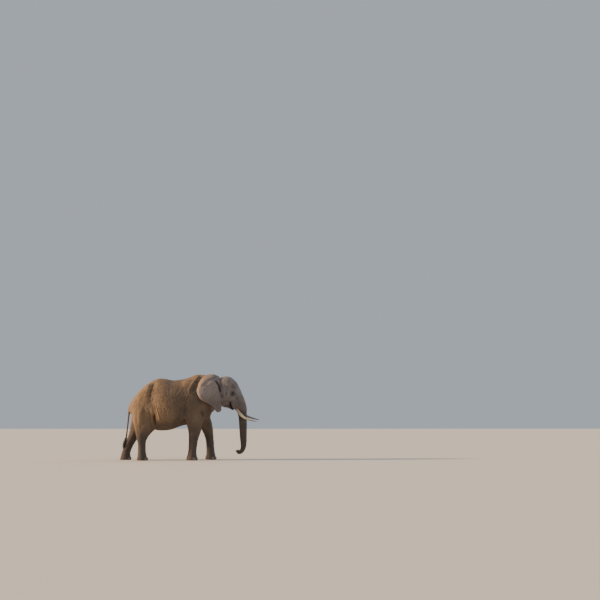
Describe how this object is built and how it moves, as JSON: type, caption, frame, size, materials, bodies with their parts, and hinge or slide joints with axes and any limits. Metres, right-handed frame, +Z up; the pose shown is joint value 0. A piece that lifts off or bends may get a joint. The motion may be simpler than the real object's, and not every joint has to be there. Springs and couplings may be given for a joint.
{
  "type": "african elephant",
  "caption": "Life-size still model of an adult African savanna elephant in mid-stride, ears laid back and trunk hanging, standing on its own flat soles.",
  "frame": {"origin": "on the floor, under the middle of the model's bounding box", "axes": "+X the way the elephant faces, +Y its left, +Z up"},
  "size_m": [4.9976, 1.3458, 3.0594],
  "materials": {
    "hide": "dry, wrinkled, dusty",
    "ear_hide": "dry, veined, dusty",
    "ivory": "worn satin, stained at the base",
    "nail": "dry horn",
    "eye": "wet, glossy",
    "tail_hair": "coarse dark hair"
  },
  "bodies": {
    "root": {"barrel": "hide", "ear_left": "ear_hide", "ear_right": "ear_hide", "eye_left": "eye", "eye_right": "eye", "foreleg_left_foot": "hide", "foreleg_left_lower": "hide", "foreleg_left_nail_1": "nail", "foreleg_left_nail_2": "nail", "foreleg_left_nail_3": "nail", "foreleg_left_nail_4": "nail", "foreleg_left_upper": "hide", "foreleg_right_foot": "hide", "foreleg_right_lower": "hide", "foreleg_right_nail_1": "nail", "foreleg_right_nail_2": "nail", "foreleg_right_nail_3": "nail", "foreleg_right_nail_4": "nail", "foreleg_right_upper": "hide", "head": "hide", "hindleg_left_foot": "hide", "hindleg_left_lower": "hide", "hindleg_left_nail_1": "nail", "hindleg_left_nail_2": "nail", "hindleg_left_nail_3": "nail", "hindleg_left_upper": "hide", "hindleg_right_foot": "hide", "hindleg_right_lower": "hide", "hindleg_right_nail_1": "nail", "hindleg_right_nail_2": "nail", "hindleg_right_nail_3": "nail", "hindleg_right_upper": "hide", "hindquarters": "hide", "lower_jaw": "hide", "neck": "hide", "shoulders": "hide", "tail_length": "hide", "tail_root": "hide", "tail_tuft": "tail_hair", "trunk_base": "hide", "trunk_lower": "hide", "trunk_middle": "hide", "trunk_tip": "hide", "trunk_upper": "hide", "tusk_left": "ivory", "tusk_right": "ivory"}
  },
  "joints": []
}
